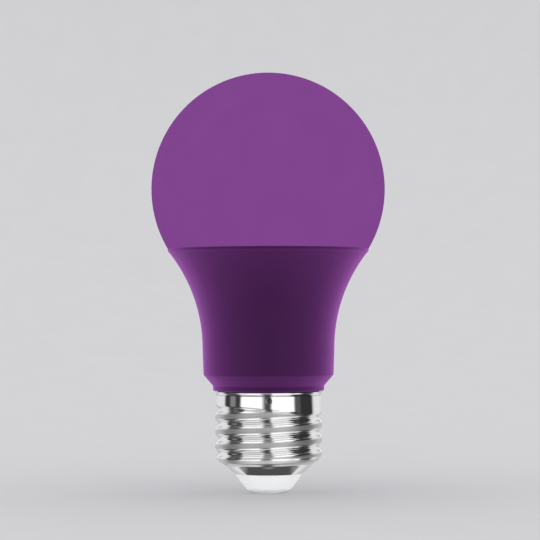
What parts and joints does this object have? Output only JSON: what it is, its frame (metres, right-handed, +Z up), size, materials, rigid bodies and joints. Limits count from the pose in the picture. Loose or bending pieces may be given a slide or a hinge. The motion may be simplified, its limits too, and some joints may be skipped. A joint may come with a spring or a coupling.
{
  "type": "smart light bulb",
  "caption": "Screw-cap smart LED bulb: round violet-lit diffuser globe on a flared satin purple housing, bright plated screw shell, white insulator and domed centre contact.",
  "frame": {"origin": "centre of the flat bottom of the centre contact, on the cap's axis", "axes": "+Z up the bulb's axis from the contact to the globe; -Y towards the viewer and +X to the viewer's right, where one crimp dent faces -Y; the thread is right-handed about +Z"},
  "size_m": [0.0574, 0.0574, 0.1032],
  "materials": {
    "diffuser": "satin",
    "adhesive": "satin",
    "housing_plastic": "satin",
    "pressed_aluminium": "satin",
    "thermal_rubber": "matte",
    "white_board": "satin",
    "led_body": "satin",
    "warm_phosphor": "satin",
    "cool_phosphor": "satin",
    "colour_lens": "gloss",
    "screw_steel": "satin",
    "white_connector": "satin",
    "black_connector": "satin",
    "gold_pins": "satin",
    "sleeve_film": "satin",
    "driver_laminate": "satin",
    "module_laminate": "satin",
    "capacitor_sleeve": "satin",
    "capacitor_can": "satin",
    "ferrite": "matte",
    "bobbin_plastic": "satin",
    "winding_tape": "satin",
    "film_capacitor_case": "satin",
    "varistor_coating": "satin",
    "chip_epoxy": "matte",
    "resistor_ceramic": "satin",
    "capacitor_ceramic": "satin",
    "tinned_wire": "satin",
    "fuse_lacquer": "satin",
    "shield_steel": "satin",
    "antenna_copper": "satin",
    "wire_insulation": "satin",
    "white_insulator": "satin",
    "contact_plating": "satin",
    "plated_shell": "gloss"
  },
  "bodies": {
    "root": {"diffuser_globe": "diffuser", "globe_adhesive": "adhesive", "housing": "housing_plastic", "heat_sink": "pressed_aluminium", "thermal_pad": "thermal_rubber", "led_board": "white_board", "led_packages": "led_body", "warm_phosphors": "warm_phosphor", "cool_phosphors": "cool_phosphor", "colour_lenses": "colour_lens", "board_screws": "screw_steel", "led_socket": "white_connector", "pin_block": "black_connector", "module_header": "black_connector", "driver_pins": "gold_pins", "module_pins": "gold_pins", "driver_sleeve": "sleeve_film", "driver_board": "driver_laminate", "wifi_board": "module_laminate", "input_capacitor": "capacitor_sleeve", "output_capacitor": "capacitor_sleeve", "capacitor_tops": "capacitor_can", "transformer_core": "ferrite", "drum_choke": "ferrite", "transformer_bobbin": "bobbin_plastic", "transformer_winding": "winding_tape", "film_capacitor": "film_capacitor_case", "varistor": "varistor_coating", "bridge_rectifier": "chip_epoxy", "control_chips": "chip_epoxy", "chip_resistors": "resistor_ceramic", "chip_capacitors": "capacitor_ceramic", "component_leads": "tinned_wire", "neutral_lead": "tinned_wire", "fuse_resistor": "fuse_lacquer", "wifi_shield": "shield_steel", "wifi_antenna": "antenna_copper", "live_lead": "wire_insulation", "cap_insulator": "white_insulator", "centre_contact": "contact_plating", "screw_shell": "plated_shell"}
  },
  "joints": []
}
